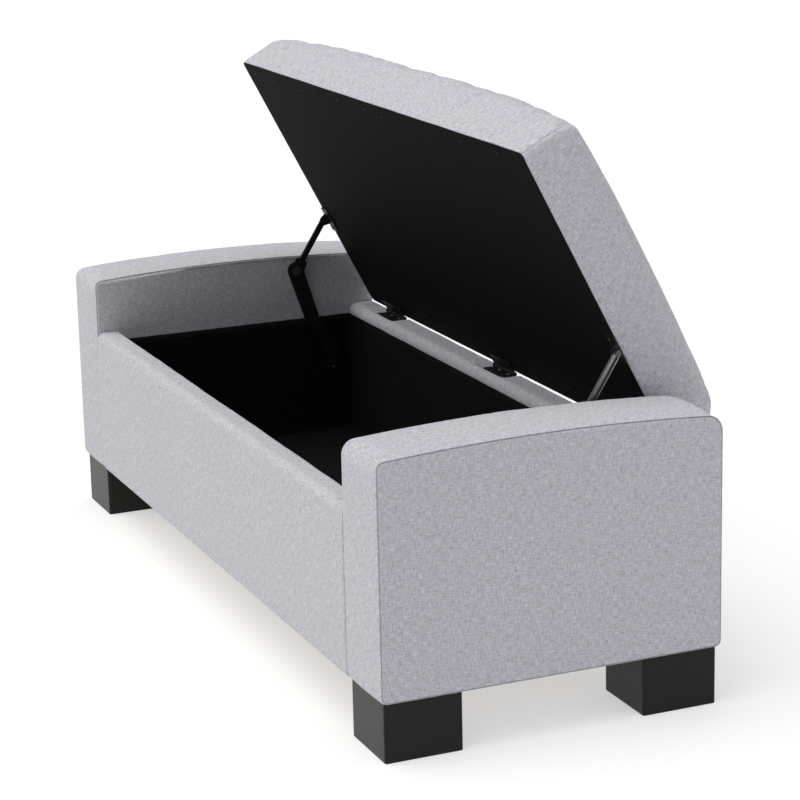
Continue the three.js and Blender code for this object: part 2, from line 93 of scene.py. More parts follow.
# ---------------------------------------------------------------- shader helpers
class Shader:
    """A node material, built with short calls."""

    def __init__(self, name):
        self.material = bpy.data.materials.new(name)
        self.material.use_nodes = True
        self.tree = self.material.node_tree
        self.surface = self.tree.nodes["Principled BSDF"]

    def node(self, kind, **inputs):
        made = self.tree.nodes.new(kind)
        for key, value in inputs.items():
            socket = made.inputs[key.replace("_", " ")]
            self.put(socket, value)
        return made

    def put(self, socket, value):
        if isinstance(value, bpy.types.NodeSocket):
            self.tree.links.new(value, socket)
        else:
            socket.default_value = value

    def set(self, name, value):
        self.put(self.surface.inputs[name], value)

    def coords(self, scale=(1, 1, 1), uv=False):
        source = self.node("ShaderNodeTexCoord").outputs["UV" if uv else "Object"]
        mapped = self.node("ShaderNodeMapping", Vector=source, Scale=scale)
        return mapped.outputs["Vector"]

    def noise(self, vector, scale, detail=3.0, roughness=0.5):
        made = self.node("ShaderNodeTexNoise", Vector=vector, Scale=scale, Detail=detail, Roughness=roughness)
        return made.outputs["Fac"]

    def wave(self, vector, scale, direction="X", distortion=0.0):
        made = self.node("ShaderNodeTexWave", Vector=vector, Scale=scale, Distortion=distortion)
        made.bands_direction = direction
        return made.outputs["Fac"]

    def math(self, operation, a, b=0.0):
        made = self.tree.nodes.new("ShaderNodeMath")
        made.operation = operation
        self.put(made.inputs[0], a)
        self.put(made.inputs[1], b)
        return made.outputs[0]

    def spread(self, value, low, high):
        """value from 0..1 to low..high."""
        made = self.node("ShaderNodeMapRange", Value=value, To_Min=low, To_Max=high)
        return made.outputs["Result"]

    def mix(self, factor, a, b):
        made = self.tree.nodes.new("ShaderNodeMix")
        made.data_type = "RGBA"
        self.put(made.inputs["Factor"], factor)
        self.put(made.inputs[6], a)
        self.put(made.inputs[7], b)
        return made.outputs[2]

    def bump(self, height, strength, distance):
        made = self.node("ShaderNodeBump", Height=height, Strength=strength, Distance=distance)
        self.set("Normal", made.outputs["Normal"])


def fabric_material():
    """Light grey linen-look weave: plain weave, slubs both ways and a faint lilac mottle."""
    s = Shader("fabric")
    weave = s.coords(uv=True)
    warp = s.wave(weave, 1 / THREAD / 20, "X", 0.4)
    weft = s.wave(weave, 1 / THREAD / 20, "Y", 0.4)
    threads = s.math("ADD", s.math("MULTIPLY", warp, 0.5), s.math("MULTIPLY", weft, 0.5))
    along = s.noise(s.coords((740, 100, 1), uv=True), 1.0, 3.0, 0.6)
    across = s.noise(s.coords((100, 740, 1), uv=True), 1.0, 3.0, 0.6)
    slubs = s.math("ADD", s.math("MULTIPLY", along, 0.5), s.math("MULTIPLY", across, 0.5))
    fleck = s.noise(s.coords((700, 700, 700), uv=True), 1.0, 4.0, 0.75)
    cloud = s.noise(s.coords(), 6.0, 2.0)
    yarn = s.mix(s.spread(slubs, -1.7, 2.7), (0.272, 0.27, 0.296, 1), (0.70, 0.695, 0.757, 1))
    mottled = s.mix(s.spread(fleck, -0.25, 0.75), yarn, (0.545, 0.54, 0.581, 1))
    tinted = s.mix(s.spread(cloud, 0.0, 0.25), mottled, (0.445, 0.442, 0.48, 1))
    s.set("Base Color", tinted)
    s.set("Roughness", s.spread(slubs, 0.86, 0.98))
    s.set("Sheen Weight", 0.1)
    s.set("Sheen Roughness", 0.5)
    s.set("Specular IOR Level", 0.25)
    relief = s.math("ADD", s.math("MULTIPLY", threads, 0.5), s.math("MULTIPLY", slubs, 1.1))
    s.bump(relief, 0.6, 0.6 * MM)
    return s.material


def lining_material():
    """Black spunbond cloth with its fine embossed dots."""
    s = Shader("lining")
    dots = s.math("MULTIPLY", s.wave(s.coords(), 36, "X"), s.wave(s.coords(), 36, "Y"))
    fibre = s.noise(s.coords(), 900, 4.0, 0.7)
    folds = s.noise(s.coords((1, 1, 3)), 9, 2.0)
    s.set("Base Color", s.mix(fibre, (0.003, 0.003, 0.0034, 1), (0.009, 0.009, 0.010, 1)))
    s.set("Roughness", s.spread(fibre, 0.72, 0.95))
    s.set("Specular IOR Level", 0.08)
    cloth = s.math("ADD", fibre, s.math("MULTIPLY", folds, 3.0))
    s.bump(s.math("ADD", s.math("MULTIPLY", dots, 0.25), cloth), 0.35, 0.4 * MM)
    return s.material


def leg_material():
    """Near-black stained wood under satin lacquer, with the grain just showing."""
    s = Shader("leg_wood")
    grain = s.noise(s.coords((260, 260, 9)), 1.0, 5.0, 0.6)
    pores = s.noise(s.coords((1400, 1400, 60)), 1.0, 2.0)
    s.set("Base Color", s.mix(grain, (0.005, 0.0048, 0.0043, 1), (0.014, 0.013, 0.0115, 1)))
    s.set("Roughness", s.spread(grain, 0.24, 0.38))
    s.set("Specular IOR Level", 0.18)
    s.bump(s.math("ADD", grain, s.math("MULTIPLY", pores, 0.5)), 0.18, 0.3 * MM)
    return s.material


def metal_material(name, low, high, roughness, metallic, shine=0.5, stretch=(60, 900, 900)):
    """Pressed steel: a brushed or sprayed surface with slight wear."""
    s = Shader(name)
    brushed = s.noise(s.coords(stretch), 1.0, 4.0, 0.6)
    smudge = s.noise(s.coords(), 60, 3.0)
    s.set("Base Color", s.mix(smudge, (low, low, low, 1), (high, high, high, 1)))
    s.set("Metallic", metallic)
    s.set("Specular IOR Level", shine)
    s.set("Roughness", s.spread(brushed, roughness - 0.08, roughness + 0.12))
    s.bump(brushed, 0.12, 0.1 * MM)
    return s.material


def board_material():
    """Raw board: dull brown with darker growth rings."""
    s = Shader("board")
    rings = s.wave(s.coords((1, 6, 6)), 5, "Z", 5.0)
    fibre = s.noise(s.coords((20, 500, 500)), 1.0, 3.0)
    s.set("Base Color", s.mix(rings, (0.30, 0.25, 0.19, 1), (0.38, 0.33, 0.26, 1)))
    s.set("Roughness", s.spread(fibre, 0.65, 0.85))
    s.bump(fibre, 0.2, 0.2 * MM)
    return s.material


def foam_material():
    """Cut upholstery foam with open pores."""
    s = Shader("foam")
    pores = s.noise(s.coords(), 700, 3.0, 0.7)
    s.set("Base Color", s.mix(pores, (0.70, 0.64, 0.46, 1), (0.86, 0.81, 0.64, 1)))
    s.set("Roughness", 0.95)
    s.bump(pores, 0.5, 0.5 * MM)
    return s.material


MATERIALS = {
    "fabric": fabric_material(),
    "lining": lining_material(),
    "leg_wood": leg_material(),
    "board": board_material(),
    "foam": foam_material(),
    "black_steel": metal_material("black_steel", 0.006, 0.013, 0.42, 0.0, 0.22),
    "bright_steel": metal_material("bright_steel", 0.21, 0.33, 0.26, 1.0),
    "zinc_steel": metal_material("zinc_steel", 0.07, 0.13, 0.36, 1.0),
}


# ---------------------------------------------------------------- mesh helpers
def smooth_step(x):
    x = np.clip(x, 0, 1)
    return x * x * (3 - 2 * x)


def weave_uv(mesh):
    """Flat weave coordinates in metres, taken across each face's main direction."""
    count = len(mesh.loops)
    vertex = np.zeros(count, np.int32)
    mesh.loops.foreach_get("vertex_index", vertex)
    points = np.zeros(len(mesh.vertices) * 3, np.float32)
    mesh.vertices.foreach_get("co", points)
    points = points.reshape(-1, 3)[vertex]
    normals = np.zeros(len(mesh.polygons) * 3, np.float32)
    mesh.polygons.foreach_get("normal", normals)
    totals = np.zeros(len(mesh.polygons), np.int32)
    mesh.polygons.foreach_get("loop_total", totals)
    axis = np.repeat(np.abs(normals.reshape(-1, 3)).argmax(1), totals)
    u = np.where(axis == 0, points[:, 1], points[:, 0])
    v = np.where(axis == 2, points[:, 1], points[:, 2])
    layer = mesh.uv_layers.new(name="weave")
    layer.data.foreach_set("uv", np.stack([u, v], 1).astype(np.float32).ravel())


def make_piece(name, verts, faces, slot, body, replaces=(), place=None):
    """A smooth-shaded piece in its material, riding on a body in place of CAD nodes."""
    mesh = bpy.data.meshes.new(name)
    mesh.from_pydata([tuple(v) for v in verts], [], faces)
    piece = bpy.data.objects.new(name, mesh)
    bpy.context.scene.collection.objects.link(piece)
    shape = bmesh.new()
    shape.from_mesh(mesh)
    bmesh.ops.recalc_face_normals(shape, faces=shape.faces)
    shape.to_mesh(mesh)
    shape.free()
    mesh.polygons.foreach_set("use_smooth", [True] * len(mesh.polygons))
    weave_uv(mesh)
    mesh.materials.append(MATERIALS[slot])
    if place is not None:
        mesh.transform(place)
    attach(piece, body)
    if replaces:
        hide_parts(*replaces)
    return piece


def push(verts, faces, amount):
    """Moves the points along their normals by the amounts."""
    mesh = bpy.data.meshes.new("scratch")
    mesh.from_pydata([tuple(v) for v in verts], [], faces)
    shape = bmesh.new()
    shape.from_mesh(mesh)
    bmesh.ops.recalc_face_normals(shape, faces=shape.faces)
    shape.normal_update()
    normals = np.array([tuple(v.normal) for v in shape.verts])
    shape.free()
    bpy.data.meshes.remove(mesh)
    return verts + normals * np.asarray(amount)[:, None]


def ripple(points, size, seed, octaves=3):
    """Smooth noise between -1 and 1 with features of the given size."""
    shift = Vector((seed * 7.3, seed * 3.1, seed * 5.7))
    return np.array([
        noise.fractal(Vector(p) / size + shift, 0.8, 2.0, octaves) for p in points
    ])


def between(a, b, steps):
    """Evenly spaced points from a towards b, without b itself."""
    return [np.array(a) * (1 - k / steps) + np.array(b) * (k / steps) for k in range(steps)]


def loft(rings):
    """Closed rings joined side by side, with a fan to the middle at each end."""
    count = len(rings[0])
    verts = np.concatenate(rings)
    faces = []
    for r in range(len(rings) - 1):
        for i in range(count):
            j = (i + 1) % count
            a, b = r * count, (r + 1) * count
            faces.append((a + i, a + j, b + j, b + i))
    for ring, start in ((rings[0], 0), (rings[-1], (len(rings) - 1) * count)):
        verts = np.vstack([verts, ring.mean(0)])
        tip = len(verts) - 1
        faces += [(start + i, start + (i + 1) % count, tip) for i in range(count)]
    return verts, faces


def inset(outline, amount):
    """The outline moved inwards."""
    ahead = np.roll(outline, -1, 0) - np.roll(outline, 1, 0)
    ahead /= np.linalg.norm(ahead, axis=1)[:, None]
    inward = np.stack([-ahead[:, 1], ahead[:, 0]], 1)
    area = np.sum(outline[:, 0] * np.roll(outline[:, 1], -1) - np.roll(outline[:, 0], -1) * outline[:, 1])
    return outline + inward * amount * (1 if area > 0 else -1)


def grid_box(xs, ys, zs, skip=()):
    """The outer surface of a box as a grid on the given lines."""
    index = {}
    verts = []
    faces = []

    def at(i, j, k):
        if (i, j, k) not in index:
            index[i, j, k] = len(verts)
            verts.append((xs[i], ys[j], zs[k]))
        return index[i, j, k]

    def side(name, rows, columns, key):
        if name in skip:
            return
        for a in range(rows - 1):
            for b in range(columns - 1):
                faces.append(tuple(at(*key(a + p, b + q)) for p, q in ((0, 0), (1, 0), (1, 1), (0, 1))))

    nx, ny, nz = len(xs), len(ys), len(zs)
    side("bottom", nx, ny, lambda a, b: (a, b, 0))
    side("top", nx, ny, lambda a, b: (a, b, nz - 1))
    side("front", nx, nz, lambda a, b: (a, 0, b))
    side("back", nx, nz, lambda a, b: (a, ny - 1, b))
    side("left", ny, nz, lambda a, b: (0, a, b))
    side("right", ny, nz, lambda a, b: (nx - 1, a, b))
    return np.array(verts), faces


def lines(low, high, spacing, edge, edge_steps):
    """Grid lines, closer together within the edge distance at both ends."""
    angles = np.linspace(0, math.pi / 2, edge_steps + 1)
    near = edge * (1 - np.cos(angles))
    middle = np.linspace(low + edge, high - edge, max(2, round((high - low - 2 * edge) / spacing)) + 1)
    return np.concatenate([low + near[:-1], middle, (high - near[:-1])[::-1]])


def bar_box(size, bevel, place):
    """A small box with rounded edges, as (verts, faces)."""
    shape = bmesh.new()
    bmesh.ops.create_cube(shape, size=1)
    bmesh.ops.scale(shape, vec=size, verts=shape.verts)
    bmesh.ops.bevel(shape, geom=shape.edges[:], offset=bevel, segments=2, affect="EDGES", profile=0.6)
    shape.transform(place)
    verts = np.array([tuple(v.co) for v in shape.verts])
    faces = [tuple(v.index for v in f.verts) for f in shape.faces]
    shape.free()
    return verts, faces


def joined(parts):
    """Several (verts, faces) as one."""
    verts = []
    faces = []
    total = 0
    for part_verts, part_faces in parts:
        verts.append(part_verts)
        faces += [tuple(i + total for i in f) for f in part_faces]
        total += len(part_verts)
    return np.concatenate(verts), faces


def puffed(piece, held, pressure=4.0, cap=6 * MM):
    """Lets the cloth swell and crease between its held points, then keeps the result."""
    group = piece.vertex_groups.new(name="held")
    for i, weight in enumerate(held):
        if weight > 0.001:
            group.add([i], float(min(weight, 1)), "REPLACE")
    cloth = piece.modifiers.new("cloth", "CLOTH")
    cloth.settings.vertex_group_mass = "held"
    cloth.settings.quality = 4
    cloth.settings.mass = 0.3
    cloth.settings.tension_stiffness = 12
    cloth.settings.compression_stiffness = 12
    cloth.settings.shear_stiffness = 5
    cloth.settings.bending_stiffness = 0.6
    cloth.settings.shrink_min = -0.025
    cloth.settings.use_pressure = True
    cloth.settings.uniform_pressure_force = pressure
    cloth.settings.effector_weights.gravity = 0
    cloth.collision_settings.use_collision = False
    scene = bpy.context.scene
    for number in range(1, CLOTH_FRAMES + 1):
        scene.frame_set(number)
    evaluated = piece.evaluated_get(bpy.context.evaluated_depsgraph_get())
    count = len(piece.data.vertices)
    swollen = np.zeros(count * 3)
    evaluated.data.vertices.foreach_get("co", swollen)
    piece.modifiers.remove(cloth)
    scene.frame_set(1)
    start = np.zeros(count * 3)
    piece.data.vertices.foreach_get("co", start)
    move = (swollen - start).reshape(-1, 3)
    length = np.linalg.norm(move, axis=1)
    limit = cap * np.tanh(length / cap)
    move *= (limit / np.maximum(length, 1e-9))[:, None]
    piece.data.vertices.foreach_set("co", start + move.ravel())
    piece.data.update()


# ---------------------------------------------------------------- arms
def arm_outline(y0, y1, z0, z1, shrink, corner, puff, back_soft):
    """The arm's side view; shrink moves it in and puff lets the band swell out."""
    back = min(corner + back_soft, BAND_CORNER)
    centre = (y0 + y1) / 2
    half = (y1 - y0) / 2 - shrink
    end = z1 - ARM_ARCH - shrink
    low = z0 + shrink
    foot = ARM_FOOT
    out = half + puff * 0.6
    points = []

    def crest(y):
        return end + puff * 1.3 + ARM_ARCH * (1 - (y / half) ** 2)

    def line(a, b, steps):
        points.extend(between(a, b, steps))

    def arc(cy, cz, radius, a0, a1, steps):
        for k in range(steps):
            a = math.radians(a0 + (a1 - a0) * k / steps)
            points.append(np.array([cy + radius * math.cos(a), cz + radius * math.sin(a)]))

    line((-out + foot, low), (out - foot, low), 60)
    arc(out - foot, low + foot, foot, -90, 0, 5)
    line((out, low + foot), (out, crest(out - back) - back), 54)
    arc(out - back, crest(out - back) - back, back, 0, 90, 10)
    span = out - corner
    for k in range(84):
        y = (out - back) - (2 * out - back - corner) * k / 84
        points.append(np.array([y, crest(y)]))
    arc(-span, crest(span) - corner, corner, 90, 180, 10)
    line((-out, crest(span) - corner), (-out, low + foot), 54)
    arc(-out + foot, low + foot, foot, 180, 270, 5)
    return np.array(points) + np.array([centre, 0])


def arm_cover(side):
    """A boxed cover: two side panels sewn to one band that runs over the arm."""
    name = f"arm_cover_{side}"
    low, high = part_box(name)
    sign = 1 if side == "right" else -1
    inner, outer = (low.x, high.x) if sign > 0 else (high.x, low.x)
    width = abs(outer - inner)
    tight = 0.3 * MM

    def ring(depth, shrink, corner, puff, scale=1.0, bow=0.0, from_inner=True):
        sides = (low.y + tight, high.y - tight, low.z, high.z - tight)
        outline = arm_outline(*sides, shrink, corner, puff, ARM_BACK_SOFT if side == "right" else 0)
        middle = np.array([(low.y + high.y) / 2, (low.z + high.z) / 2])
        outline = middle + (outline - middle) * scale
        x = inner + sign * depth if from_inner else outer - sign * depth
        x += (-sign if from_inner else sign) * bow
        return np.column_stack([np.full(len(outline), x), outline])

    # The visible seams turn tight corners; the cover is looser round the others.
    seam_corner = {
        True: SEAM_ROUND["looser" if side == "right" else "tight"],
        False: SEAM_ROUND["tight" if side == "right" else "loose"],
    }

    def face_rings(from_inner, fullness):
        made = []
        turn = seam_corner[from_inner]
        cut = SEAM_CUT_INNER if from_inner else SEAM_CUT_OUTER
        for scale in (0.1, 0.22, 0.34, 0.46, 0.57, 0.67, 0.76, 0.83, 0.89, 0.935, 0.965, 0.985):
            bow = fullness * smooth_step((1 - scale) / 0.45)
            made.append(ring(0, ARM_SEAM_IN, turn, 0, scale, bow, from_inner))
        seam = (
            (0.0, ARM_SEAM_IN + 2.4 * MM, turn - 1.0 * MM),
            (0.3 * MM, ARM_SEAM_IN + 1.0 * MM, turn - 0.5 * MM),
            (cut, ARM_SEAM_IN + 0.4 * MM, turn),
            (cut, ARM_SEAM_IN, turn + 0.5 * MM),
            (0.9 * MM, ARM_SEAM_IN - 0.6 * MM, turn + 1.0 * MM),
            (1.5 * MM, ARM_SEAM_IN - 1.2 * MM, turn + 2.0 * MM),
            (3.4 * MM, 0, turn + 3.0 * MM),
        )
        made += [ring(d, s, c, 0, from_inner=from_inner) for d, s, c in seam]
        return made

    # The stitched grooves stay even; the cloth on both sides of them is free to wander.
    face_calm = [1.0] * 10 + [0.6, 0.3]
    seam_calm = [0.1] * 5 + [0.3, 0.6]

    band = []
    for depth in np.linspace(7 * MM, width - 7 * MM, 15):
        share = depth / width
        across = 1 - (2 * share - 1) ** 2
        edge = seam_corner[True] * (1 - share) + seam_corner[False] * share + 3 * MM
        corner = edge + (BAND_CORNER - edge) * across ** 0.6
        band.append(ring(depth, 0, corner, 3.4 * MM * across ** 0.8))
    rings = face_rings(True, 0.3 * MM) + band + face_rings(False, 2.2 * MM)[::-1]
    verts, faces = loft(rings)
    side_calm = face_calm + seam_calm
    calm = np.repeat(side_calm + [1.0] * len(band) + side_calm[::-1], len(rings[0]))
    calm = np.append(calm, [1.0, 1.0])

    # Puckers along both seams and at the top corners, and slow unevenness everywhere.
    edge = np.minimum(abs(verts[:, 0] - inner), abs(verts[:, 0] - outer))
    near_seam = np.exp(-((edge - 6 * MM) / (9 * MM)) ** 2)
    gather = ripple(verts * (0.5, 1, 1), 11 * MM, 4 + sign)
    slow = ripple(verts, 95 * MM, 9 + sign)
    corner_y = np.minimum(abs(verts[:, 1] - low.y), abs(verts[:, 1] - high.y))
    corner_z = abs(verts[:, 2] - (high.z - ARM_ARCH))
    corner = np.exp(-(corner_y ** 2 + corner_z ** 2) / (38 * MM) ** 2)
    folds = ripple(verts * (1, 0.35, 0.35), 16 * MM, 21 + sign)
    amount = 0.28 * MM * gather * near_seam + 0.55 * MM * slow + 0.9 * MM * folds * corner
    foot = smooth_step((verts[:, 2] - low.z) / (30 * MM))
    verts = push(verts, faces, amount * calm * (0.25 + 0.75 * foot))
    piece = make_piece(f"arm_fabric_{side}", verts, faces, "fabric", "bench", (name,))


# ---------------------------------------------------------------- panels between the arms
def panel_section(low, high, top, inner_at_back, roll_inner, roll_outer):
    """A panel's section: its outer face, the top, and its inner face down to the lining."""
    inner, outer = (high.y, low.y) if inner_at_back else (low.y, high.y)
    away = 1 if outer > inner else -1
    depth = abs(outer - inner)
    floor_z = low.z
    points = []

    def line(a, b, steps):
        points.extend(between(a, b, steps))

    def quarter(radius, step):
        into = 1 - min(max(step / radius, 0), 1)
        return radius * (1 - math.sqrt(1 - into ** 2))

    def rounding(step):
        return quarter(roll_inner, step) + quarter(roll_outer, depth - step)

    over = []
    for k in range(41):
        step = depth * (1 - math.cos(math.pi * k / 40)) / 2
        over.append((inner + away * step, top(step) - rounding(step)))
    hem = LINING_TOP - LINING_HEM
    line((inner + away * 3 * MM, floor_z + 2 * MM), (inner + away * 3 * MM, hem), 30)
    line((inner + away * 3 * MM, hem), (inner, hem), 2)
    line((inner, hem), over[0], 3)
    points.extend(np.array(p) for p in over[:-1])
    line(over[-1], (outer, floor_z + 5 * MM), 48)
    for k in range(5):
        angle = math.pi / 2 * k / 4
        points.append(np.array([
            outer - away * 5 * MM * (1 - math.cos(angle)),
            floor_z + 5 * MM * (1 - math.sin(angle)),
        ]))
    return np.array(points)


def panel_cover(name, node, section_at, seed, swell=None):
    """A padded panel swept along the bench, with its ends tucked against the arms."""
    low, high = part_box(node)
    tuck = 1.6 * MM
    stations = lines(low.x, high.x, 6 * MM, tuck, 3)
    rings = []
    for x in stations:
        depth = min(x - low.x, high.x - x, tuck)
        shrink = tuck - math.sqrt(max(tuck ** 2 - (tuck - depth) ** 2, 0))
        section = inset(section_at(x), shrink * 0.8)
        rings.append(np.column_stack([np.full(len(section), x), section]))
    verts, faces = loft(rings)
    waves = ripple(verts * (1, 1, 0.25), 120 * MM, seed)
    fine = ripple(verts * (1, 1, 0.5), 34 * MM, seed + 3)
    middle = smooth_step((verts[:, 2] - low.z) / (26 * MM))
    ends = smooth_step(np.minimum(verts[:, 0] - low.x, high.x - verts[:, 0]) / (20 * MM))
    amount = (0.7 * MM * waves + 0.22 * MM * fine) * middle * (0.15 + 0.85 * ends)
    if swell:
        amount = amount + swell(verts)
    verts = push(verts, faces, amount)
    piece = make_piece(name, verts, faces, "fabric", "bench", (node,))


def front_panel():
    low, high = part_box("front_panel_cover")
    depth = high.y - low.y

    def top(step):
        return high.z - FRONT_TOP_DROP * (1 - step / depth) + 0.8 * MM

    def belly(points):
        """The front face swells a little between its edges."""
        height = np.clip((points[:, 2] - low.z) / (high.z - low.z), 0, 1)
        facing = smooth_step((low.y + 12 * MM - points[:, 1]) / (10 * MM))
        return 1.4 * MM * np.sin(math.pi * height) ** 0.7 * facing

    def section(x):
        return panel_section(low, high, top, True, 8 * MM, 13 * MM)

    panel_cover("front_panel_fabric", "front_panel_cover", section, 31, belly)


def back_panel():
    low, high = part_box("back_panel_cover")
    leaf_low, leaf_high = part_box("hinge_rail_leaf_middle")
    seat = leaf_low.z - 0.6 * MM
    seat_step = leaf_low.y - low.y - 2 * MM
    half = (leaf_high.x - leaf_low.x) / 2
    hinges = [(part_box(n)[0].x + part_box(n)[1].x) / 2 for n in NODES if n.startswith("hinge_rail_leaf")]
    crest = high.z + 0.6 * MM
    puffed_back = high.z + 1.0 * MM

    def section(x):
        """Each leaf presses the padding flat; between them it swells up to the lid."""
        clear = min(abs(x - h) for h in hinges) - half - 1.5 * MM
        rise = float(smooth_step(clear / (11 * MM)))

        def top(step):
            back = smooth_step((step - seat_step + 7 * MM) / (7 * MM))
            pressed = crest + (seat - crest) * back
            swollen = crest + (puffed_back - crest) * smooth_step(step / (seat_step + 9 * MM))
            return pressed + (swollen - pressed) * rise

        return panel_section(low, high, top, False, 13 * MM, (3 + 2 * rise) * MM)

    panel_cover("back_panel_fabric", "back_panel_cover", section, 47)


# ---------------------------------------------------------------- linings
def box_lining():
    """Black cloth stapled round the inside of the box, with a folded top edge."""
    low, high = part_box("box_lining")
    skin = 0.35 * MM
    low = low + Vector((skin, skin, skin))
    high = high - Vector((skin, skin, 0))
    xs = lines(low.x, high.x, 14 * MM, 8 * MM, 3)
    ys = lines(low.y, high.y, 12 * MM, 8 * MM, 3)
    zs = np.concatenate([low.z + 8 * MM * (1 - np.cos(np.linspace(0, math.pi / 2, 4)))[:-1],
                         np.linspace(low.z + 8 * MM, high.z, 19)])
    verts, faces = grid_box(xs, ys, zs, skip=("top",))
    radius = 6 * MM
    core_low = np.array([low.x + radius, low.y + radius, low.z + radius])
    core_high = np.array([high.x - radius, high.y - radius, 10])
    core = np.clip(verts, core_low, core_high)
    away = verts - core
    length = np.linalg.norm(away, axis=1)
    bent = length > 1e-9
    verts[bent] = core[bent] + away[bent] / length[bent][:, None] * radius
    inward = np.clip(core, core_low + 9 * MM, core_high - 9 * MM) - verts
    inward /= np.maximum(np.linalg.norm(inward, axis=1), 1e-9)[:, None]
    loose = (0.5 + 0.5 * ripple(verts, 70 * MM, 61)) * 1.8 * MM
    from_end = np.minimum(verts[:, 0] - low.x, high.x - verts[:, 0])
    loose *= 0.08 + 0.92 * smooth_step((from_end - 4 * MM) / (30 * MM))
    top_pull = smooth_step((high.z - verts[:, 2]) / (25 * MM))
    verts = verts + inward * (loose * (0.15 + 0.85 * top_pull))[:, None]
    piece = make_piece("box_lining_cloth", verts, faces, "lining", "bench", ("box_lining",))
    shell = piece.modifiers.new("cloth", "SOLIDIFY")
    shell.thickness = LINING_THICK
    shell.offset = 0


def lid_frame():
    """From the lid's closed frame, with the hinge pin at its origin, to the stored pose."""
    return Matrix.Translation(LID_PIVOT) @ Matrix.Rotation(-LID_OPEN, 4, "X")


def closed_box(node):
    """A lid node's box in the lid's closed frame."""
    back = lid_frame().inverted()
    points = np.array([tuple(back @ v.co) for v in NODES[node].data.vertices])
    return points.min(0), points.max(0)


def lid_lining():
    """Black cloth over the underside of the lid, folded in and pulled tight by its staples."""
    low, high = closed_box("lid_lining")
    fabric_low, fabric_high = closed_box("lid_cover")
    edge = 1.2 * MM
    low = np.array([fabric_low[0], fabric_low[1] - LID_FRONT_OUT, low[2]])
    high = np.array([fabric_high[0], fabric_high[1], high[2]])
    xs = lines(low[0] + edge, high[0] - edge, 12 * MM, 9 * MM, 3)
    ys = lines(low[1] + edge, high[1] - edge, 12 * MM, 9 * MM, 3)
    zs = np.array([low[2] + 0.1 * MM, high[2]])
    verts, faces = grid_box(xs, ys, zs)
    centre = np.array([(low[0] + high[0]) / 2, (low[1] + high[1]) / 2])
    half = np.array([(high[0] - low[0]) / 2 - edge, (high[1] - low[1]) / 2 - edge])
    plan = verts[:, :2] - centre
    core = np.clip(plan, -(half - 9 * MM), half - 9 * MM)
    away = plan - core
    length = np.linalg.norm(away, axis=1)
    over = length > 9 * MM
    plan[over] = core[over] + away[over] / length[over][:, None] * 9 * MM
    verts[:, :2] = plan + centre
    border = np.min(np.stack([half[0] - abs(plan[:, 0]), half[1] - abs(plan[:, 1])]), axis=0)
    slack = smooth_step(border / (60 * MM))
    along = verts[:, 0] + verts[:, 1]
    scallop = 0.5 + 0.5 * np.cos(along / (45 * MM) * 2 * math.pi)
    lower = verts[:, 2] < (zs[0] + zs[1]) / 2
    soft = ripple(verts, 130 * MM, 71)
    hem = np.exp(-((border - 12 * MM) / (5 * MM)) ** 2)
    pinch = 0.1 * MM * scallop * np.exp(-border / (8 * MM))
    sag = 0.25 * MM * soft * slack + 0.25 * MM * hem * scallop - pinch
    verts[:, 2] -= np.where(lower, sag, 0)
    make_piece("lid_lining_cloth", verts, faces, "lining", "lid", ("lid_lining",), lid_frame())


# ---------------------------------------------------------------- lid
def tufts():
    """Stitched tufts in staggered rows: (x, share of the half depth)."""
    return [
        ((k - (count - 1) / 2) * TUFT_PITCH, row)
        for row, count in TUFT_ROWS
        for k in range(count)
    ]


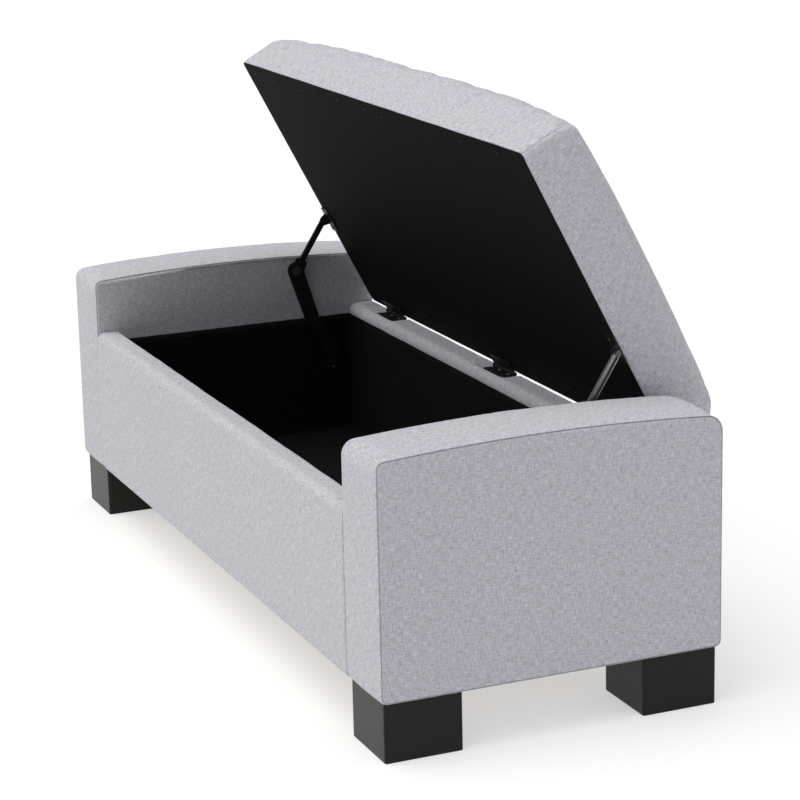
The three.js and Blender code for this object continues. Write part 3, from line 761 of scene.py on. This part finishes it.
def lid_shape():
    """The padded lid's surface, and how firmly each of its points is held."""
    low, high = closed_box("lid_cover")
    centre = np.array([0, (low[1] + high[1]) / 2])
    half = np.array([high[0], (high[1] - low[1]) / 2])
    bottom = low[2]
    bulge_front = np.array([5 * MM, 9 * MM])
    bulge_end = 4.5 * MM

    xs = lines(-half[0], half[0], 6.5 * MM, LID_ROLL, 7)
    ys = lines(-half[1], half[1], 6.5 * MM, LID_ROLL, 7)
    levels = np.linspace(0, 1, 13)
    verts, faces = grid_box(xs, ys, levels, skip=("bottom",))
    flat, level = verts[:, :2].copy(), verts[:, 2].copy()

    # How far in from each pair of edges, as the angle round the roll.
    def roll(distance):
        return np.sqrt(np.clip(1 - (1 - np.clip(distance / LID_ROLL, 0, 1)) ** 2, 0, 1))

    gap_x = half[0] - abs(flat[:, 0])
    gap_y = half[1] - abs(flat[:, 1])
    lift = roll(gap_x) * roll(gap_y)
    end_height = LID_END_HEIGHT - LID_END_DROP * (abs(flat[:, 1]) / half[1]) ** 3
    edge_height = end_height + (LID_MID_HEIGHT - end_height) * (1 - (abs(flat[:, 0]) / half[0]) ** 4)
    start = edge_height - LID_ROLL
    crown = (LID_TOP - edge_height) * (1 - (flat[:, 0] / half[0]) ** 2) * (1 - (flat[:, 1] / half[1]) ** 2)
    on_side = level < 1 - 1e-9
    z = np.where(on_side, bottom + (start - bottom) * level, start + LID_ROLL * lift + crown)

    # Plan corners, then the sides' bulge, which fades over the roll.
    size = np.maximum(np.max(abs(flat) / half, axis=1), 1e-6)
    outer = flat / size[:, None]
    core = np.clip(outer, -(half - LID_CORNER), half - LID_CORNER)
    away = outer - core
    length = np.maximum(np.linalg.norm(away, axis=1), 1e-9)
    outer = core + away * np.minimum(1, LID_CORNER / length)[:, None]
    plan = outer * size[:, None]
    swell = np.sin(math.pi / 2 * np.clip(level, 0, 1)) ** 0.8
    fade_x = 1 - np.clip(gap_x / LID_ROLL, 0, 1)
    fade_y = 1 - np.clip(gap_y / LID_ROLL, 0, 1)
    middle_x = (1 - (abs(flat[:, 0]) / half[0]) ** 6) * 0.6 + 0.4
    middle_y = (1 - (abs(flat[:, 1]) / half[1]) ** 4) * 0.6 + 0.4
    plan[:, 0] += np.sign(flat[:, 0]) * bulge_end * swell * fade_x * middle_y
    at_back = (flat[:, 1] > 0).astype(int)
    plan[:, 1] += np.sign(flat[:, 1]) * bulge_front[at_back] * swell * fade_y * middle_x
    plan[:, 1] -= LID_FRONT_OUT * np.clip(-flat[:, 1] / half[1], 0, 1)
    verts = np.column_stack([plan + centre, z])

    # A narrow turned-under edge, which the lining covers.
    border = np.where((level < 1e-9))[0]
    verts, faces = turned_edge(verts, faces, border, centre, half)
    pad = len(verts) - len(flat)
    flat = np.vstack([flat, flat[border]])
    level = np.concatenate([level, np.zeros(pad)])

    depth, held = tuft_relief(flat, level, half)
    corner = np.exp(-((gap_x + gap_y) / (2.2 * MM)) ** 2)
    corner = np.concatenate([corner, np.zeros(pad)])
    seam = 1.4 * MM * corner * (1 - 0.3 * level)
    slow = 0.7 * MM * ripple(np.column_stack([flat, level * 0.05]), 85 * MM, 81)
    fine = 0.25 * MM * ripple(np.column_stack([flat, level * 0.05]), 24 * MM, 83)
    foot = smooth_step(level / 0.35)
    gap = np.concatenate([gap_x + gap_y, np.ones(pad)])
    crinkle = 0.45 * MM * ripple(np.column_stack([flat, level * 0.1]), 9 * MM, 87) * np.exp(-gap / (16 * MM))
    around = flat[:, 0] + flat[:, 1]
    pull = 0.6 * MM * np.cos(around / (37 * MM) * 2 * math.pi) * level * np.exp(-level / 0.12) / 0.04
    verts = push(verts, faces, (slow + fine) * foot + crinkle - pull - depth - seam)
    firm_end = np.concatenate([np.exp(-(gap_x / (45 * MM)) ** 2), np.ones(pad)])
    held = np.maximum.reduce([held, np.exp(-level / 0.12), 0.8 * corner, 0.9 * firm_end])
    return verts, faces, held


def lid_cover():
    """One fabric pulled over the top and down the sides, tufted by stitches, over its foam."""
    verts, faces, held = lid_shape()
    inner = push(verts, faces, np.full(len(verts), -FOAM_INSET))
    board_top = closed_box("lid_board")[1][2]
    inner[:, 2] = np.maximum(inner[:, 2], board_top + 0.3 * MM)
    foam = make_piece("lid_padding", inner, faces, "foam", "lid", ("lid_foam",), lid_frame())

    piece = make_piece("lid_fabric", verts, faces, "fabric", "lid", ("lid_cover",))
    puffed(piece, held)
    piece.data.transform(lid_frame())
    fine_mesh = piece.modifiers.new("fine", "SUBSURF")
    fine_mesh.levels = 1
    fine_mesh.render_levels = 1


def turned_edge(verts, faces, border, centre, half):
    """Adds a strip from the bottom edge inwards."""
    around = np.arctan2((verts[border, 1] - centre[1]) / half[1], verts[border, 0] / half[0])
    order = border[np.argsort(around)]
    start = len(verts)
    lookup = {int(v): start + i for i, v in enumerate(border)}
    inner = verts[border].copy()
    inner[:, 0] *= 1 - 5 * MM / half[0]
    inner[:, 1] = centre[1] + (inner[:, 1] - centre[1]) * (1 - 5 * MM / half[1])
    inner[:, 2] += 0.4 * MM
    strip = []
    for a, b in zip(order, np.roll(order, -1)):
        strip.append((int(a), int(b), lookup[int(b)], lookup[int(a)]))
    return np.vstack([verts, inner]), faces + strip


def tuft_relief(flat, level, half):
    """How deep the stitches and their pleats pull the fabric in, and how firmly it is held."""
    points = np.array([(x, share * 2 * half[1]) for x, share in tufts()])
    depth = np.zeros(len(flat))
    held = np.zeros(len(flat))
    on_top = smooth_step((level - 0.55) / 0.45)
    for x, y in points:
        r = np.hypot(flat[:, 0] - x, flat[:, 1] - y)
        wide, deep = (9 * MM, 8 * MM) if abs(x) < half[0] - TUFT_PITCH else (4.5 * MM, 6 * MM)
        depth += (wide * np.exp(-(r / (34 * MM)) ** 2) + deep * np.exp(-(r / (9 * MM)) ** 2)) * on_top
        held = np.maximum(held, np.exp(-(r / (7 * MM)) ** 2) * (level > 0.99))

    def pleat(a, b, strength, width=5.5 * MM):
        along = b - a
        reach = np.linalg.norm(along)
        t = ((flat - a) @ along) / reach ** 2
        t_in = np.clip(t, 0, 1)
        off = np.linalg.norm(flat - a - t_in[:, None] * along, axis=1)
        profile = 0.55 + 0.45 * (2 * t_in - 1) ** 2
        cut = strength * profile * (0.65 * np.exp(-off / width) + 0.35 * np.exp(-(off / (4 * width)) ** 2))
        return cut * on_top, np.exp(-(off / (3 * MM)) ** 2) * 0.55 * (level > 0.99)

    near = 1.35 * TUFT_PITCH
    for i, a in enumerate(points):
        for b in points[i + 1:]:
            if abs(a[1] - b[1]) > 1 * MM and np.linalg.norm(a - b) < near:
                cut, hold = pleat(a, b, 6 * MM)
                depth += cut
                held = np.maximum(held, hold)

    # Pleats from the outer tufts over the roll and a little down the sides.
    rows = sorted(set(points[:, 1]))
    fade = 0.25 + 0.75 * smooth_step((level - 0.25) / 0.75)
    for x, y in points:
        if y in (rows[0], rows[-1]):
            beyond = (flat[:, 1] - y) * math.copysign(1, y) > 0
            off = abs(flat[:, 0] - x)
            taper = 1 - 0.35 * smooth_step((abs(flat[:, 1]) - abs(y)) / (half[1] - abs(y)))
            cut = 6.5 * MM * taper * (0.55 * np.exp(-off / (6 * MM)) + 0.45 * np.exp(-(off / (24 * MM)) ** 2))
            depth += np.where(beyond, cut * fade, 0)
    return depth, held


# ---------------------------------------------------------------- small fixings
def screw_head(place, radius):
    """A low domed cross-head screw, as (verts, faces)."""
    sides = 24
    rings = []
    for share, height in ((1.0, 0.0), (0.96, 0.3), (0.8, 0.5), (0.6, 0.6), (0.42, 0.64), (0.2, 0.65)):
        ring = []
        for k in range(sides):
            angle = 2 * math.pi * k / sides
            x, y = math.cos(angle) * share, math.sin(angle) * share
            in_cross = min(abs(x), abs(y)) < 0.13 and share < 0.65
            drop = 0.45 if in_cross else 0
            ring.append((x * radius, y * radius, (height - drop) * radius * 0.6))
        rings.append(np.array(ring))
    verts, faces = loft(rings)
    verts[-1, 2] = 0.1 * radius
    return np.array([tuple(place @ Vector(v)) for v in verts]), faces


def hinge_screws():
    """Three screws through each leaf, the middle one further from the leaf's free edge."""
    spread, stagger, from_edge, radius = 26 * MM, 3 * MM, 7 * MM, 3.2 * MM
    leaf_skin = 0.2 * MM
    for body, kind in (("bench", "rail"), ("lid", "lid")):
        parts = []
        for node in sorted(n for n in NODES if n.startswith(f"hinge_{kind}_leaf")):
            if kind == "rail":
                low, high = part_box(node)
                place, turn, z = Matrix.Identity(4), Matrix.Identity(4), low.z + 1.8 * MM
            else:
                low, high = (Vector(c) for c in closed_box(node))
                place, turn, z = lid_frame(), Matrix.Rotation(math.pi, 4, "X"), leaf_skin / 2
            middle = (low.x + high.x) / 2
            for step in (-1, 0, 1):
                y = low.y + from_edge + (1 - abs(step)) * stagger
                spot = Matrix.Translation((middle + step * spread, y, z))
                parts.append(screw_head(place @ spot @ turn, radius))
        verts, faces = joined(parts)
        make_piece(f"hinge_screws_{kind}", verts, faces, "black_steel", body)


def stay_screws():
    """Three screws in each base plate and two in each lid bracket."""
    plates = []
    brackets = []
    flip = Matrix.Rotation(math.pi, 4, "X")
    for side, sign in (("left", -1), ("right", 1)):
        low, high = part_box(f"stay_base_plate_{side}")
        face = low.x if sign > 0 else high.x
        turn = Matrix.Rotation(-sign * math.pi / 2, 4, "Y")
        for z in (low.z + 7 * MM, low.z + 19 * MM, high.z - 6 * MM):
            spot = Vector((face, (low.y + high.y) / 2, z))
            plates.append(screw_head(Matrix.Translation(spot) @ turn, 3.4 * MM))
        flange_low, flange_high = closed_box(f"stay_lid_bracket_{side}")
        middle = (flange_low[1] + flange_high[1]) / 2
        inner_x = flange_low[0] if sign > 0 else flange_high[0]
        for step in (-1, 1):
            spot = Matrix.Translation((inner_x + sign * 9 * MM, middle + step * 13 * MM, -0.1 * MM))
            brackets.append(screw_head(lid_frame() @ spot @ flip, 3.0 * MM))
    verts, faces = joined(plates)
    make_piece("stay_plate_screws", verts, faces, "zinc_steel", "bench")
    verts, faces = joined(brackets)
    make_piece("stay_bracket_screws", verts, faces, "zinc_steel", "lid")


def staples():
    """Short wire staples round the edges of both linings."""
    crown = Vector((10 * MM, 0.9 * MM, 0.6 * MM))
    low, high = closed_box("lid_lining")
    under = lid_frame()
    z = low[2] - 0.35 * MM
    spots = []
    for x in np.arange(low[0] + 40 * MM, high[0] - 30 * MM, 90 * MM):
        spots += [(x, low[1] + 11 * MM, 0), (x + 22 * MM, high[1] - 24 * MM, 0)]
    for y in np.arange(low[1] + 50 * MM, high[1] - 30 * MM, 90 * MM):
        spots += [(low[0] + 11 * MM, y, 90), (high[0] - 11 * MM, y + 18 * MM, 90)]
    parts = []
    for n, (x, y, turn) in enumerate(spots):
        lean = turn + 22 * math.sin(n * 2.4)
        stray = Vector((17 * MM * math.sin(n * 5.1), 4 * MM * math.sin(n * 3.7), 0))
        spot = Vector((x, y, z)) + (stray if turn == 0 else stray.yxz)
        place = under @ Matrix.Translation(spot) @ Matrix.Rotation(math.radians(lean), 4, "Z")
        parts.append(bar_box(crown, 0.2 * MM, place))
    verts, faces = joined(parts)
    make_piece("lid_staples", verts, faces, "black_steel", "lid")

    low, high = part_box("box_lining")
    parts = []
    height = LINING_TOP - 9 * MM
    inside = 1.5 * MM
    upright = Matrix.Rotation(math.pi / 2, 4, "X")
    for n, x in enumerate(np.arange(low.x + 45 * MM, high.x - 30 * MM, 75 * MM)):
        lean = Matrix.Rotation(math.radians(8 * math.sin(n * 1.9)), 4, "Y")
        for y in (low.y + inside, high.y - inside):
            place = Matrix.Translation((x, y, height)) @ lean @ upright
            parts.append(bar_box(crown, 0.2 * MM, place))
    quarter_turn = Matrix.Rotation(math.pi / 2, 4, "Z")
    for y in np.arange(low.y + 45 * MM, high.y - 30 * MM, 75 * MM):
        for x in (low.x + inside, high.x - inside):
            place = Matrix.Translation((x, y, height)) @ quarter_turn @ upright
            parts.append(bar_box(crown, 0.2 * MM, place))
    verts, faces = joined(parts)
    make_piece("box_staples", verts, faces, "black_steel", "bench")


# ---------------------------------------------------------------- finishes on the CAD nodes
def finish_nodes():
    for part in frame["record"]["subparts"]:
        mesh = NODES[part["node"]].data
        mesh.materials.clear()
        mesh.materials.append(MATERIALS[part["material_slot"]])


# ---------------------------------------------------------------- stage, light and camera
def stage():
    floor_material = bpy.data.materials.new("floor")
    floor_material.use_nodes = True
    shader = floor_material.node_tree.nodes["Principled BSDF"]
    shader.inputs["Base Color"].default_value = (0.5, 0.5, 0.5, 1)
    shader.inputs["Emission Color"].default_value = (1, 1, 1, 1)
    shader.inputs["Emission Strength"].default_value = 0.5
    shader.inputs["Roughness"].default_value = 0.6
    bpy.ops.mesh.primitive_plane_add(size=FLOOR_SIZE, location=(0, 0, 0))
    floor = bpy.context.object
    floor.name = "floor"
    floor.data.materials.append(floor_material)

    world = bpy.data.worlds.new("studio")
    bpy.context.scene.world = world
    world.use_nodes = True
    tree = world.node_tree
    fill = tree.nodes["Background"]
    fill.inputs["Color"].default_value = (0.98, 0.975, 1.05, 1)
    fill.inputs["Strength"].default_value = 0.24
    # Beyond the floor's edge the studio is as white as the floor.
    beyond = tree.nodes.new("ShaderNodeBackground")
    beyond.inputs["Color"].default_value = (1, 1, 1, 1)
    seen = tree.nodes.new("ShaderNodeLightPath")
    mixed = tree.nodes.new("ShaderNodeMixShader")
    tree.links.new(seen.outputs["Is Camera Ray"], mixed.inputs[0])
    tree.links.new(fill.outputs[0], mixed.inputs[1])
    tree.links.new(beyond.outputs[0], mixed.inputs[2])
    tree.links.new(mixed.outputs[0], tree.nodes["World Output"].inputs["Surface"])

    def soft_sun(name, source, spread, strength, tint):
        light = bpy.data.lights.new(name, "SUN")
        light.color = tint
        light.angle = math.radians(spread)
        light.energy = strength
        lit = bpy.data.objects.new(name, light)
        bpy.context.scene.collection.objects.link(lit)
        lit.rotation_euler = (-Vector(source)).to_track_quat("-Z", "Y").to_euler()

    soft_sun("key", (-0.2, -1.0, 1.9), 60, 2.15, (1.0, 1.0, 0.965))
    soft_sun("overhead", (0.15, 0.2, 1.0), 100, 0.95, (1.0, 1.0, 1.0))


def camera():
    azimuth, elevation = math.radians(AZIMUTH), math.radians(ELEVATION)
    back = Vector((
        math.sin(azimuth) * math.cos(elevation),
        -math.cos(azimuth) * math.cos(elevation),
        math.sin(elevation),
    ))
    data = bpy.data.cameras.new("camera")
    data.lens = LENS
    data.sensor_width = 36
    data.clip_end = 100
    view = bpy.data.objects.new("camera", data)
    bpy.context.scene.collection.objects.link(view)
    view.location = AIM + back * DISTANCE
    turn = (-back).to_track_quat("-Z", "Y").to_matrix().to_4x4()
    view.rotation_euler = (turn @ Matrix.Rotation(math.radians(ROLL), 4, "Z")).to_euler()
    bpy.context.scene.camera = view


finish_nodes()
camera()
stage()
bpy.context.scene.view_settings.view_transform = "Standard"
for arm in ("left", "right"):
    arm_cover(arm)
front_panel()
back_panel()
box_lining()
lid_lining()
lid_cover()
hinge_screws()
stay_screws()
staples()
